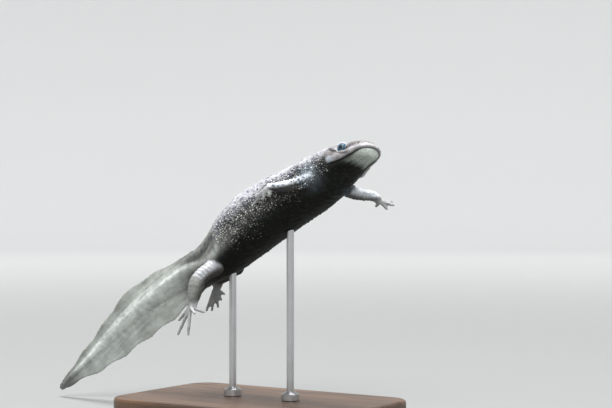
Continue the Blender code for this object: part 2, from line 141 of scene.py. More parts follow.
# Height of the dark line from nostril to eye
BRIDLE = ((3.5, 1.9), (6.1, 2.0), (7.9, 1.3), (9.5, 0.4), (12, -1.1))
# Height of the band of painted shadow on the flank under each arm
ARM_SHADE = ((30, -6.5), (35, -5.6), (40, -4.7), (45, -3.2), (50, -1.0))
# Heights of the pale rail that runs over the hip on to the middle of the tail, and of the groove over it
SIDE_RAIL = ((76, 2.4), (82.5, -1.7), (87, -3.3), (93.7, -3.1), (98.2, -2.0), (108.7, 0.1), (200, 0.1))
HIP_GROOVE = ((80, 3.9), (84, 2.8), (88.8, 1.7), (92, 0.9), (97, 0.6), (104, 2.2), (112, 3.4))

# Limbs: offsets forward, outward and up from the root, which is a place in the body's own axes
ARM = {
    "root": (27.8, 7.0, -4.0),
    "widths": ((0, 3.2), (5, 2.7), (9, 2.3), (13, 2.1), (18, 1.7)),
    "palm_half": 2.0,
}
LEG = {
    "root": (89.0, 5.0, -6.0),
    "widths": ((0, 3.9), (7, 3.3), (12, 3.1), (16, 3.1), (21, 2.5)),
    "palm_half": 2.8,
}
LIMBS = {
    "arm_right": {
        **ARM,
        "side": -1,
        "joint": (-6.9, 8.0, -2.3),
        "wrist": (-16.0, 9.5, 1.3),
        "palm": (-18.5, 9.8, 2.1),
        "tips": ((-16.6, 9.6, -2.2), (-21.6, 9.4, -1.4), (-28.0, 9.4, -0.4), (-24.8, 10.8, 0.8)),
    },
    "arm_left": {
        **ARM,
        "side": 1,
        "joint": (1.1, 7.5, -0.8),
        "wrist": (1.8, 14.0, 0.2),
        "palm": (2.2, 17.0, -1.4),
        "tips": ((-1.8, 18.0, -1.6), (3.5, 19.5, -5.3), (6.1, 21.1, -4.1), (5.3, 21.3, -1.9)),
    },
    "leg_right": {
        **LEG,
        "side": -1,
        "joint": (-7.7, 8.8, -4.1),
        "wrist": (-12.7, 10.0, -9.9),
        "palm": (-15.4, 10.5, -12.5),
        "tips": (
            (-10.8, 9.0, -18.1),
            (-11.6, 15.0, -18.8),
            (-21.4, 11.0, -22.8),
            (-26.8, 10.0, -19.2),
            (-25.2, 8.0, -13.2),
        ),
    },
    "leg_left": {
        **LEG,
        "side": 1,
        "joint": (-8.6, 7.5, 3.7),
        "wrist": (-16.4, 8.5, 4.5),
        "palm": (-20.1, 9.0, 2.9),
        "tips": (
            (-18.7, 12.0, -1.4),
            (-21.2, 11.5, -2.9),
            (-23.9, 11.0, -4.9),
            (-26.9, 10.0, -4.8),
            (-28.4, 8.0, -4.3),
        ),
    },
}
# Distance from one cross fold of a limb to the next
LIMB_FOLD = 1.5
PALM_HALF_THICKNESS = 1.0
# The palm has its own shape from this share of its length on
PALM_FULL = 0.75
# A digit starts at this share of the palm, and its knuckle is at this share of the way to the tip
DIGIT_START = 0.75
KNUCKLE = 0.3
DIGIT_ROOT_HALF = 0.85
DIGIT_TIP_HALF = 0.54
# Small swellings at the joints of a digit: share of its length and half length
DIGIT_KNOBS = ((0.45, 0.07), (0.72, 0.06))
DIGIT_KNOB_HEIGHT = 0.07
# A path's direction is read between points this far to either side
PATH_REACH = 0.05

# CAD nodes that the skin stands for
FLESH_NODES = (
    "head", "lower_jaw", "neck", "chest", "belly", "pelvis", "tail_base", "tail_middle", "tail_tip",
    "fin_upper_front", "fin_upper_rear", "fin_lower_front", "fin_lower_rear",
    "arm_right_upper", "arm_right_lower", "hand_right", "arm_left_upper", "arm_left_lower", "hand_left",
    "leg_right_thigh", "leg_right_shank", "foot_right", "leg_left_thigh", "leg_left_shank", "foot_left",
)

# Points along and round each shape. All but the eyes are then made one skin
BODY_GRID = (300, 96)
FIN_GRID = (200, 64)
LIMB_GRID = (40, 20)
DIGIT_GRID = (36, 14)
MOUND_GRID = (32, 20)
EYE_GRID = (48, 32)
# The body's first ring, and how much closer together its rings are at the snout
FIRST_RING = 0.02
RING_POWER = 1.2
# Edge of the cubes from which the skin is made one surface
SKIN_CELL = 0.48
# The skin has finer points before this distance from the snout
HEAD_REFINED = 25.0
# Steps toward and away from the neighbours' middle, which smooth the skin without shrinking it
RELAX_SHARES = (0.5, -0.52) * 5
# Steps at which the spine and the limbs are compared with the skin's points
SPINE_STEP = 0.5
LIMB_STEP = 0.4
# So many points are compared at once, to save memory
POINTS_AT_ONCE = 20000
# No point of a limb is further than this from its palm
LIMB_REACH = 45

# Lengths of the body that a fold or marking takes up: it rises between the first two distances from
# the snout and falls between the last two
CREASE_SPAN = (7.5, 9.5, 16.5, 18.5)
BRIDLE_SPAN = (3.5, 6, 10, 12)
ARM_SHADOW_SPAN = (31, 34, 48, 51)
TRUNK_SPAN = (26, 32, 98, 106)
BACK_SPAN = (26, 40, 108, 120)
RAIL_SPAN = (76, 86, 112, 130)
GROOVE_SPAN = (80, 88, 104, 114)
TAIL_SPAN = (104, 112, 192, 199)
PALE_RAIL_SPAN = (76, 88, 186, 199)
GROOVE_SHADE_SPAN = (80, 88, 104, 112)
SPOTTED_SPAN = (-2, 6, 94, 112)
# Soft ovals on each side of the head: distance from the snout, height, half length and half height
JAW_SWELLING = (17.4, -1.6, 1.8, 1.5)
NECK_SWELLING = (21.5, 3.5, 3.0, 2.2)
LORE_HOLLOW = (9.7, 0.6, 2.0, 1.7)
CHEEK_SPOT = (16.9, -1.8, 1.2, 0.9)
# Folds across the throat: distance from the snout, depth and half width
THROAT_FOLDS = ((23.2, 0.2, 0.5), (26.4, 0.55, 0.7), (29.8, 0.25, 0.6), (32.7, 0.18, 0.6))
# Folds over the side of the neck: distance from the snout and depth
NECK_FOLDS = ((26.2, 0.45), (29.0, 0.25))
# Distances between the folds of the flank and between the muscle bands of the tail
FLANK_FOLD = 5.4
TAIL_BAND = 4.2

# Warts: closest spacing, smallest half width and how much it grows, height as a share of half width
WART_SPACING = 0.76
WART_SMALL = 0.24
WART_GROWTH = 0.34
WART_HEIGHT = 0.7
WART_SIDES = 7
WART_RINGS = 4
# Seeds of the chance that places the warts and that sizes them
PLACE_SEED = 5
SIZE_SEED = 11
# The warts' UV map: a length and a turn that the body fits in, and the size of one wart
UV_LENGTH = 200
UV_TURN = 6.3
UV_WART = 0.0015

# Colours of the skin by region, as light they throw back
BACK_GREY = (0.385, 0.385, 0.41)
BACK_TOP_GREY = (0.185, 0.185, 0.19)
FLANK_GREY = (0.055, 0.056, 0.056)
# Near black painted as shade: under the belly, and along the mouth line
SHADE_BLACK = (0.006, 0.007, 0.005)
# Dark brown painted as shade in the crease by the eye and in the nostrils, and the colour of the line from
# nostril to eye
SHADE_AND_LINE_BROWN = (0.035, 0.030, 0.026)
# Dark painted as shade on the lower side of the neck and on the flank under each arm
NECK_AND_ARM_SHADE = (0.014, 0.012, 0.011)
HEAD_GREY = (0.20, 0.183, 0.183)
LIP_GREY = (0.37, 0.355, 0.37)
CHIN_GREY = (0.51, 0.56, 0.50)
# Paler front of the chin: partly its own pale colour and partly painted light, against the shaded throat
CHIN_PALE_AND_LIT = (0.74, 0.80, 0.74)
LID_GREY = (0.50, 0.51, 0.54)
SHOULDER_BLUE = (0.46, 0.55, 0.63)
ARM_GREY = (0.61, 0.64, 0.68)
THIGH_GREY = (0.31, 0.32, 0.335)
# Dark painted as shade on the undersides of the limbs
LIMB_UNDER_SHADE = (0.05, 0.045, 0.04)
# Pale painted as highlight on the fold crests of the limbs' upper sides
FOLD_HIGHLIGHT_WHITE = (0.56, 0.57, 0.60)
SHANK_GREY = (0.19, 0.195, 0.18)
DIGIT_GREY = (0.33, 0.34, 0.34)
HIP_GREY = (0.20, 0.20, 0.185)
TAIL_GREY = (0.29, 0.31, 0.285)
TAIL_PALE = (0.60, 0.64, 0.61)
TAIL_TIP_GREY = (0.15, 0.155, 0.145)
# Dark grey of the blotches, also painted as shade in the groove over the hip
BLOTCH_AND_SHADE_GREY = (0.085, 0.088, 0.080)
SPOT_BLUE = (0.042, 0.054, 0.078)
# Colours of the grains and the tips of the warts, pale partly by their own colour and partly as painted
# glints of the wet skin
BACK_TIP = (0.64, 0.65, 0.69)
FLANK_TIP = (0.46, 0.45, 0.41)
LOW_TIP = (0.15, 0.148, 0.135)
NECK_TIP = (0.36, 0.35, 0.32)
BACK_TOP_TIP = (0.34, 0.34, 0.35)
# Colours of the eye, the stand and the stage
IRIS_DARK = (0.021, 0.050, 0.083)
IRIS_BLUE = (0.040, 0.090, 0.137)
RING_GREY = (0.20, 0.20, 0.16)
PUPIL_DARK = (0.010, 0.014, 0.020)
WOOD_DARK = (0.035, 0.018, 0.010)
WOOD_PALE = (0.115, 0.062, 0.033)
STEEL_DARK = (0.42, 0.42, 0.43)
STEEL_PALE = (0.6, 0.6, 0.61)
FLOOR_PAINT = (0.20, 0.205, 0.202)
WALL_PAINT = (0.55, 0.56, 0.555)
SKY_COLOUR = (0.9, 0.93, 1.0, 1)
SKY_STRENGTH = 0.35
# Edges of the pupil and of the ring round it, as cosines of the angle from the eye's look
PUPIL_EDGE = (0.935, 0.95)
RING_EDGE = (0.905, 0.92)

# Stage, in metres: flat floor, the curve up to the wall, and the wall's top
FLOOR_RADIUS = 2.2
COVE_RADIUS = 0.8
COVE_STEPS = 8
WALL_HEIGHT = 3.0
STAGE_SIDES = 96
# Lamps: name, place and size in metres, and power. They point at the middle of the model
LAMP_TARGET = (0, 0, 0.06)
LAMPS = (
    ("light_above", (-0.1, 0.1, 2.5), 1.1, 140),
    ("light_side", (0.5, -1.3, 1.5), 0.9, 32),
)

# Camera: its turn from +Y to the left, its aim (distance from the snout, then to the right and up from
# there), and how far it stands away
CAMERA_AZIMUTH = math.radians(33)
CAMERA_TARGET = 70
CAMERA_SIDE = 20.5
CAMERA_RISE = 8.4
CAMERA_AWAY = 600.0
# Focal length and width of the picture in its pixels
CAMERA_FOCAL = 1477.0
PICTURE_WIDTH = 612.0
SENSOR_WIDTH = 36.0


def unit(vectors):
    """Vectors of length one."""
    return vectors / np.linalg.norm(vectors, axis=-1, keepdims=True)


def ramp(low, high, value):
    """Smooth step from 0 at low to 1 at high. With low over high it falls from 1 to 0."""
    part = np.clip((value - low) / (high - low), 0, 1)
    return part * part * (3 - 2 * part)


def span(marks, along):
    """Share of a length of the body, from four distances: it rises, stays full, and falls."""
    start, full, ease, end = marks
    return ramp(start, full, along) * ramp(end, ease, along)


def hump(middle, half_width, value):
    """Smooth hump of height 1."""
    return np.exp(-(((value - middle) / half_width) ** 2))


def noise_at(points, scale=1.0, shift=(0, 0, 0)):
    """Smooth noise at each point."""
    return np.array([noise.noise(Vector(point) * scale + Vector(shift)) for point in points])


def read_table(table, at):
    """Values on the smooth curve through a table's rows, one row for each distance."""
    rows = np.array(table, float)
    at = np.clip(np.asarray(at, float), rows[0, 0], rows[-1, 0])
    index = np.arange(len(rows))
    before = np.maximum(index - 1, 0)
    after = np.minimum(index + 1, len(rows) - 1)
    slopes = (rows[after, 1:] - rows[before, 1:]) / (rows[after, :1] - rows[before, :1])
    row = np.clip(np.searchsorted(rows[:, 0], at, side="right") - 1, 0, len(rows) - 2)
    gap = (rows[row + 1, 0] - rows[row, 0])[:, None]
    part = (at - rows[row, 0])[:, None] / gap
    return (
        rows[row, 1:] * (2 * part**3 - 3 * part**2 + 1)
        + slopes[row] * gap * (part**3 - 2 * part**2 + part)
        + rows[row + 1, 1:] * (3 * part**2 - 2 * part**3)
        + slopes[row + 1] * gap * (part**3 - part**2)
    )


def body_axes(at):
    """Forward, left and up of the body at each distance from the snout."""
    climb, turn, bank = np.radians(read_table(COURSE, at)).T[:, :, None]
    level = np.concatenate((np.cos(turn), -np.sin(turn), np.zeros_like(turn)), axis=1)
    forward = level * np.cos(climb) + np.array((0, 0, 1)) * np.sin(climb)
    flat_left = unit(np.cross((0, 0, 1), forward))
    flat_up = np.cross(forward, flat_left)
    left = flat_left * np.cos(bank) - flat_up * np.sin(bank)
    up = flat_up * np.cos(bank) + flat_left * np.sin(bank)
    return forward, left, up


def axes_at(along):
    """Forward, left and up of the body at one distance from the snout."""
    return [axis[0] for axis in body_axes(np.array([along]))]


def trace_spine():
    """Spine points at every millimetre from the snout to the tail tip, as placed on the stand."""
    steps = body_axes(np.arange(COURSE[-1][0]) + 0.5)[0]
    points = np.vstack((np.zeros((1, 3)), -np.cumsum(steps, axis=0)))
    points -= points[POISE]
    tail = np.arange(int(FIN_START), int(BODY_END))
    lowest = (points[tail] - body_axes(tail)[2] * read_table(LOWER_FIN_EDGE, tail))[:, 2].min()
    points[:, 2] += TAIL_CLEARANCE - lowest
    return points


SPINE = trace_spine()


def spine_points(at):
    """Spine points at distances from the snout."""
    return np.stack([np.interp(at, np.arange(len(SPINE)), SPINE[:, axis]) for axis in range(3)], axis=1)


def body_places(at, across, up_by):
    """Points given in the body's own axes: distance from the snout, to the left, and up."""
    _, left, up = body_axes(at)
    return spine_points(at) + left * across[:, None] + up * up_by[:, None]


def body_place(along, outward, up_by, side):
    """One point in the body's axes, outward to the left for side 1 and to the right for side -1."""
    return body_places(np.array([along]), np.array([outward * side]), np.array([up_by]))[0]


def section_reach(at, angle):
    """Across and up of the body's surface at an angle counted from the left side."""
    half_width, above, below, power = read_table(SECTIONS, at).T
    rounding = np.sqrt(np.clip(1 - (np.clip(1 - at / SNOUT_CAP, 0, 1)) ** 2, 0, 1))
    side = np.cos(angle)
    rise = np.sin(angle)
    half_height = np.where(rise > 0, above, below)
    across = half_width * rounding * np.sign(side) * np.abs(side) ** (2 / power)
    up_by = half_height * rounding * np.sign(rise) * np.abs(rise) ** (2 / power)
    return across, up_by


def mesh_of(shape, name):
    """Mesh from a shape, which is used up."""
    mesh = bpy.data.meshes.new(name)
    shape.to_mesh(mesh)
    shape.free()
    return mesh


def placed(name, data):
    """Object in the scene that holds a mesh, a lamp or the camera."""
    holder = bpy.data.objects.new(name, data)
    bpy.context.scene.collection.objects.link(holder)
    return holder


def rolled_grid(place, grid):
    """Closed shape from a grid whose points go to place(u, v), with its meeting edges joined."""
    shape = bmesh.new()
    bmesh.ops.create_grid(shape, x_segments=grid[0], y_segments=grid[1], size=0.5)
    flat = np.array([vert.co for vert in shape.verts])
    for vert, point in zip(shape.verts, place(flat[:, 0] + 0.5, flat[:, 1] + 0.5)):
        vert.co = point
    bmesh.ops.remove_doubles(shape, verts=shape.verts, dist=0.001)
    bmesh.ops.holes_fill(shape, edges=[edge for edge in shape.edges if edge.is_boundary])
    bmesh.ops.recalc_face_normals(shape, faces=shape.faces)
    return shape


def body_shape():
    """Head, trunk and tail core as one smooth tube."""

    def place(u, v):
        at = FIRST_RING + (BODY_END - FIRST_RING) * u**RING_POWER
        across, up_by = section_reach(at, 2 * math.pi * v)
        return body_places(at, across, up_by)

    return rolled_grid(place, BODY_GRID)


def fin_shape(edge_table, direction):
    """One fin of the tail, from inside the core to its thin wavy edge."""
    start = FIN_START - FIN_LEAD

    def place(u, v):
        at = start + (BODY_END - start) * u
        share = 1 - np.abs(2 * v - 1)
        side = np.where(v < 0.5, -1.0, 1.0)
        core = read_table(SECTIONS, at)[:, 1 if direction > 0 else 2]
        phase = 2 * math.pi * at / FIN_WAVE_LENGTH
        edge = read_table(edge_table, at)[:, 0] + FIN_WAVE_RISE * np.sin(phase)
        inner = core * FIN_ROOT_SHARE
        height = inner + (edge - inner) * share
        over_core = np.clip((height - core) / np.maximum(edge - core, 0.1), 0, 1)
        foot_half = read_table(SECTIONS, at)[:, 0] * FIN_FOOT_SHARE
        half = FIN_EDGE_HALF + (foot_half - FIN_EDGE_HALF) * (1 - over_core) ** FIN_TAPER
        half = half * np.sqrt(np.clip((1 - share) / FIN_EDGE_ROUND, 0, 1))
        half = half * np.sqrt(np.clip(share / FIN_ROOT_ROUND, 0, 1))
        wave = FIN_WAVE_SIDE * over_core**2 * np.sin(phase + direction)
        return body_places(at, half * side + wave, height * direction)

    return rolled_grid(place, FIN_GRID)


def limb_place(limb, offset):
    """Point of a limb, from its offset forward, outward and up of the root."""
    along, outward, up_by = limb["root"]
    forward, left, up = axes_at(along)
    root = body_place(along, outward, up_by, limb["side"])
    return root + forward * offset[0] + left * (offset[1] * limb["side"]) + up * offset[2]


def path_table(points):
    """Table of a path: distance along it, then x, y and z."""
    rows = [(0.0,) + tuple(points[0])]
    for before, after in zip(points, points[1:]):
        rows.append((rows[-1][0] + float(np.linalg.norm(after - before)),) + tuple(after))
    return rows


def limb_path(limb):
    """Path of a limb through root, joint, wrist and palm, and the palm's normal."""
    offsets = ((0, 0, 0), limb["joint"], limb["wrist"], limb["palm"])
    points = [limb_place(limb, offset) for offset in offsets]
    first = limb_place(limb, limb["tips"][0]) - points[3]
    last = limb_place(limb, limb["tips"][-1]) - points[3]
    return path_table(points), unit(np.cross(first, last))


def tube_shape(path, normal, half_sizes, grid):
    """Tube along a path with round ends. half_sizes(at) gives its half width and half thickness."""
    length = path[-1][0]

    def place(u, v):
        at = length * (1 - np.cos(math.pi * u)) / 2
        ahead = read_table(path, np.minimum(at + PATH_REACH, length))
        behind = read_table(path, np.maximum(at - PATH_REACH, 0))
        tangent = unit(ahead - behind)
        across = unit(np.cross(normal, tangent))
        up = np.cross(tangent, across)
        half_width, half_thickness = half_sizes(at)
        from_end = np.minimum(at, length - at)
        rounding = np.sqrt(1 - (1 - np.clip(from_end / half_thickness, 0, 1)) ** 2)
        angle = 2 * math.pi * v
        sideways = across * (half_width * rounding * np.cos(angle))[:, None]
        return read_table(path, at) + sideways + up * (half_thickness * rounding * np.sin(angle))[:, None]

    return rolled_grid(place, grid)


def limb_shapes(limb):
    """Limb with its palm or sole, then its digits."""
    path, normal = limb_path(limb)
    wrist_at = path[2][0]
    palm_full_at = wrist_at + PALM_FULL * (path[3][0] - wrist_at)
    wrist_half = limb["widths"][-1][1]

    def limb_halves(at):
        half = read_table(limb["widths"], at)[:, 0]
        palm = ramp(wrist_at, palm_full_at, at)
        width = half + (limb["palm_half"] - wrist_half) * palm
        return width, half + (PALM_HALF_THICKNESS - wrist_half) * palm

    yield tube_shape(path, normal, limb_halves, LIMB_GRID)
    wrist, palm = (np.array(path[row][1:]) for row in (2, 3))
    for offset in limb["tips"]:
        tip = limb_place(limb, offset)
        digit = path_table([wrist + (palm - wrist) * DIGIT_START, palm + (tip - palm) * KNUCKLE, tip])
        length = digit[-1][0]

        def digit_halves(at):
            share = at / length
            half = DIGIT_ROOT_HALF + (DIGIT_TIP_HALF - DIGIT_ROOT_HALF) * share
            for middle, half_length in DIGIT_KNOBS:
                half = half + DIGIT_KNOB_HEIGHT * hump(middle, half_length, share)
            return half, half

        yield tube_shape(digit, normal, digit_halves, DIGIT_GRID)


def eye_frame(side):
    """Middle of one eye, the way it looks, and its axes along the head and across it."""
    centre = body_place(*EYE_PLACE, side)
    forward, left, up = axes_at(EYE_PLACE[0])
    look = unit(forward * EYE_LOOK[0] + left * (EYE_LOOK[1] * side) + up * EYE_LOOK[2])
    along = unit(forward - look * (forward @ look))
    return centre, look, along, np.cross(look, along)


def mound_shape(side):
    """Mound of flesh round one eye."""
    along, outward, up_by = EYE_PLACE
    centre = body_place(along, outward - MOUND_INSET[0], up_by - MOUND_INSET[1], side)
    rows = [Vector(axis * radius) for axis, radius in zip(axes_at(along), MOUND_RADII)]
    turn = Matrix(rows).transposed().to_4x4()
    shape = bmesh.new()
    bmesh.ops.create_uvsphere(shape, u_segments=MOUND_GRID[0], v_segments=MOUND_GRID[1], radius=1)
    bmesh.ops.transform(shape, matrix=Matrix.Translation(Vector(centre)) @ turn, verts=shape.verts)
    return shape


def flesh_shapes():
    """Every closed shape that the skin goes round."""
    yield body_shape()
    yield fin_shape(UPPER_FIN_EDGE, 1)
    yield fin_shape(LOWER_FIN_EDGE, -1)
    for side in (1, -1):
        yield mound_shape(side)
    for limb in LIMBS.values():
        yield from limb_shapes(limb)


def joined_skin():
    """One closed mesh round all the flesh shapes, still in millimetres."""
    together = bmesh.new()
    for shape in flesh_shapes():
        part = mesh_of(shape, "part")
        together.from_mesh(part)
        bpy.data.meshes.remove(part)
    rough = mesh_of(together, "rough")
    holder = placed("rough", rough)
    remesh = holder.modifiers.new("Join", "REMESH")
    remesh.mode = "VOXEL"
    remesh.voxel_size = SKIN_CELL
    graph = bpy.context.evaluated_depsgraph_get()
    joined = bpy.data.meshes.new_from_object(holder.evaluated_get(graph))
    bpy.data.objects.remove(holder)
    bpy.data.meshes.remove(rough)
    return joined


def refine_head(mesh):
    """Splits the faces of the head so that lids and lips get finer points."""
    shape = bmesh.new()
    shape.from_mesh(mesh)
    points = np.array([vert.co for vert in shape.verts])
    in_head = body_coordinates(points)[0] < HEAD_REFINED
    edges = [edge for edge in shape.edges if all(in_head[vert.index] for vert in edge.verts)]
    bmesh.ops.subdivide_edges(shape, edges=edges, cuts=1, use_grid_fill=True)
    bmesh.ops.recalc_face_normals(shape, faces=shape.faces)
    shape.to_mesh(mesh)
    shape.free()


def read_rows(items, name, width, kind=float):
    """One property of a mesh's points, edges or corners, with a row for each."""
    values = np.empty(len(items) * width, kind)
    items.foreach_get(name, values)
    return values.reshape(-1, width)


def set_points(mesh, points):
    """Moves a mesh's points."""
    mesh.vertices.foreach_set("co", points.ravel())
    mesh.update()


def mesh_normals(mesh):
    """Normals of a mesh's points."""
    return read_rows(mesh.vertex_normals, "vector", 3)


def relaxed(points, edges, shares):
    """Points moved towards the middle of their neighbours, by each share in turn."""
    ends = np.concatenate((edges, edges[:, ::-1]))
    count = np.bincount(ends[:, 0], minlength=len(points))
    for share in shares:
        middle = np.stack(
            [np.bincount(ends[:, 0], points[ends[:, 1], axis], len(points)) / count for axis in range(3)],
            axis=1,
        )
        points = points + (middle - points) * share
    return points


def body_coordinates(points):
    """Distance from the snout, distance to the left, and height over the spine, for each point."""
    stations = np.arange(0, BODY_END + SPINE_STEP, SPINE_STEP)
    centres = spine_points(stations)
    nearest = np.empty(len(points), int)
    for start in range(0, len(points), POINTS_AT_ONCE):
        chunk = points[start : start + POINTS_AT_ONCE]
        gaps = (centres**2).sum(axis=1) - 2 * chunk @ centres.T
        nearest[start : start + POINTS_AT_ONCE] = gaps.argmin(axis=1)
    forward = body_axes(stations)[0][nearest]
    along = stations[nearest] - ((points - centres[nearest]) * forward).sum(axis=1)
    _, left, up = body_axes(along)
    offset = points - spine_points(along)
    return along, (offset * left).sum(axis=1), (offset * up).sum(axis=1)


def clear_of_body(along, across, up_by):
    """How far each point stands out from the section of head, trunk or tail core."""
    angle = np.arctan2(up_by, across)
    reach = np.hypot(*section_reach(np.clip(along, 0, BODY_END), angle))
    return np.hypot(across, up_by) - reach


def lid_opening(points, side):
    """How far each point lies out from the look of one eye: 1 on the lid's edge, and its distance."""
    centre, look, along_axis, across_axis = eye_frame(side)
    offset = points - centre
    distance = np.linalg.norm(offset, axis=1)
    ray = offset / distance[:, None]
    angle = np.arccos(np.clip(ray @ look, -1, 1))
    turn = np.arctan2(ray @ across_axis, ray @ along_axis)
    opening = angle * np.hypot(np.cos(turn) / LID_LONG, np.sin(turn) / LID_HIGH)
    return opening + 2 * ramp(*LID_REACH, distance), distance


def limb_coordinates(points, limb):
    """Distance of each point along the limb and digits, and its distance from that line."""
    path, _ = limb_path(limb)
    at = np.arange(0, path[-1][0], LIMB_STEP)
    line = read_table(path, at)
    palm = np.array(path[-1][1:])
    for offset in limb["tips"]:
        tip = limb_place(limb, offset)
        digit = path_table([palm, palm + (tip - palm) * KNUCKLE, tip])
        steps = np.arange(LIMB_STEP, digit[-1][0], LIMB_STEP)
        at = np.concatenate((at, path[-1][0] + steps))
        line = np.vstack((line, read_table(digit, steps)))
    near = np.linalg.norm(points - palm, axis=1) < LIMB_REACH
    gap = np.full(len(points), np.inf)
    place = np.zeros(len(points))
    distances = np.linalg.norm(points[near][:, None, :] - line[None, :, :], axis=2)
    best = distances.argmin(axis=1)
    gap[near] = distances[np.arange(len(best)), best]
    place[near] = at[best]
    return place, gap, path


class SkinPlaces:
    """What is known of each point of the skin: where it lies on the body or on a limb."""

    def __init__(self, points, normals):
        self.along, self.across, self.up = body_coordinates(points)
        self.outward = np.abs(self.across)
        self.near_side = self.across < 0
        self.facing = (normals * body_axes(self.along)[2]).sum(axis=1)
        # Height round the section in degrees: 90 on the back, 0 at the side, -90 under the belly
        self.round = np.degrees(np.arctan2(self.up, self.outward))
        self.clear = clear_of_body(self.along, self.across, self.up)
        self.opening = np.minimum(lid_opening(points, 1)[0], lid_opening(points, -1)[0])
        nostrils = [body_place(*NOSTRIL_PLACE, side) for side in (1, -1)]
        self.nostril = np.min([np.linalg.norm(points - middle, axis=1) for middle in nostrils], axis=0)
        self.over_mouth = self.over(MOUTH_LINE)
        drawn = np.stack((self.along * 0.15, self.across * 0.9, self.up * 0.3), axis=1)
        self.patch = noise_at(points, 0.16) * 2
        self.streak = noise_at(drawn) * 1.6
        self.find_limbs(points)
        self.tail = ramp(100, 112, self.along)
        self.fin = ramp(0.4, 1.6, self.clear) * ramp(102, 108, self.along) * (1 - self.limb)
        self.shoulder = hump(29, 4.2, self.along) * hump(-16, 26, self.round)
        self.nape_side = hump(21.5, 5.0, self.along) * hump(-12, 26, self.round)
        self.crease = hump(0, 0.5, self.over(EYE_CREASE)) * span(CREASE_SPAN, self.along)
        self.crease = self.crease * (self.outward > 4)
        # Band of painted shadow on the flank under each arm
        self.arm_shadow = hump(0, 1.9, self.over(ARM_SHADE)) * (1 - self.limb) * span(ARM_SHADOW_SPAN, self.along)

    def over(self, line):
        """Height of each point over a line that a table gives."""
        return self.up - read_table(line, self.along)[:, 0]

    def find_limbs(self, points):
        """Finds how far each point is limb, arm, shank or digit, and its distance along the limb."""
        self.limb, self.arm, self.shank, self.digit, self.limb_at = np.zeros((5, len(points)))
        for name, limb in LIMBS.items():
            place, gap, path = limb_coordinates(points, limb)
            joint_at, wrist_at, palm_at = (row[0] for row in path[1:])
            mask = ramp(0.3, 2.0, self.clear) * ramp(6.5, 5.0, gap)
            chosen = mask > self.limb
            self.limb_at[chosen] = place[chosen]
            self.limb = np.maximum(self.limb, mask)
            self.digit = np.maximum(self.digit, mask * ramp(wrist_at - 1, palm_at + 1.5, place))
            if name.startswith("arm"):
                self.arm = np.maximum(self.arm, mask)
            else:
                self.shank = np.maximum(self.shank, mask * ramp(joint_at - 1, joint_at + 2, place))


def spot_share(places, along, up_by, half_length, half_height):
    """Share of a soft oval spot on each side of the body."""
    return np.exp(-(((places.along - along) / half_length) ** 2) - ((places.up - up_by) / half_height) ** 2)


def head_relief(places):
    """Heights of the folds of head and throat over the plain shape."""
    along, outward, over_mouth = places.along, places.outward, places.over_mouth
    jaw = ramp(20.5, 18.5, along)
    side = ramp(1, 4, outward + 2 * (along < 4))
    height = -0.5 * hump(0, 0.28, over_mouth) * jaw
    height += 0.3 * hump(0.9, 0.8, over_mouth) * ramp(20, 16, along) * side
    height -= 0.2 * hump(-0.8, 0.7, over_mouth) * jaw * side
    height -= 0.15 * hump(3.0, 0.7, over_mouth) * hump(8, 3.5, along)
    height += 0.5 * spot_share(places, *JAW_SWELLING) * (outward > 5)
    height += 0.35 * spot_share(places, *NECK_SWELLING)
    height -= 0.4 * places.crease
    height -= 0.8 * spot_share(places, *LORE_HOLLOW) * ramp(3, 4.5, outward)
    bent = along + 0.02 * outward**2
    for fold_at, depth, width in THROAT_FOLDS:
        height -= depth * hump(fold_at, width, bent) * ramp(5, -40, places.round)
    return height


def nostril_relief(places):
    """Heights of the two nostrils, each a small pit with a low rim."""
    return 0.06 * hump(0.95, 0.35, places.nostril) - 0.4 * hump(0, 0.5, places.nostril)


def trunk_relief(places):
    """Heights of the folds of neck and flank over the plain shape."""
    trunk = span(TRUNK_SPAN, places.along) * (1 - places.limb)
    slanted = places.along + 0.04 * places.round
    creases = np.clip(np.cos(2 * math.pi * slanted / FLANK_FOLD), 0, 1) ** 4
    height = -0.22 * creases * hump(-5, 38, places.round) * trunk
    rib = hump(0, 1.2, (slanted + FLANK_FOLD / 2) % FLANK_FOLD - FLANK_FOLD / 2)
    height += 0.168 * rib * hump(22, 7, places.round) * trunk
    bent = places.along - 0.25 * places.up
    for fold_at, depth in NECK_FOLDS:
        fold = depth * hump(fold_at, 0.7, bent) * ramp(-60, -20, places.round)
        height -= fold * (1 - places.limb)
    return height


def hip_relief(places):
    """Heights of the rail and groove over the hip, and of the two ridges along the back."""
    along, outward = places.along, places.outward
    height = 0.5 * hump(0, 1.4, places.over(SIDE_RAIL)) * span(RAIL_SPAN, along) * (1 - places.limb)
    groove = places.over(HIP_GROOVE)
    height += (0.35 * hump(2.6, 1.5, groove) - 0.6 * hump(0, 1.1, groove)) * span(GROOVE_SPAN, along)
    ridges = (0.15 + 0.2 * hump(88, 10, along)) * (hump(2.6, 1.2, outward) - 0.9 * hump(0, 1.0, outward))
    return height + ridges * ramp(30, 60, places.round) * span(BACK_SPAN, along)


def tail_relief(places):
    """Heights of the muscle bands of the tail and of two grooves along it over the plain shape."""
    bands = np.cos(2 * math.pi * (places.along + 0.5 * np.abs(places.up)) / TAIL_BAND)
    grooves = 0.12 * hump(0, 0.8, places.up - 1.6) + 0.1 * hump(0, 0.7, places.up + 1.7)
    return (0.015 * bands - grooves) * span(TAIL_SPAN, places.along) * (1 - places.fin)


def limb_relief(places):
    """Heights of the cross folds of the legs over the plain shape."""
    folds = np.clip(np.cos(2 * math.pi * places.limb_at / LIMB_FOLD), -0.2, 1)
    return -0.2 * folds * places.limb * (1 - places.digit) * (1 - 0.6 * places.shank)


def grain_relief(points, places):
    """Small unevenness of the whole skin."""
    grain = 0.16 * noise_at(points, 0.55) + 0.09 * noise_at(points, 1.5, (9, 4, 7))
    return grain * (1 - 0.75 * np.maximum(places.digit, places.fin))


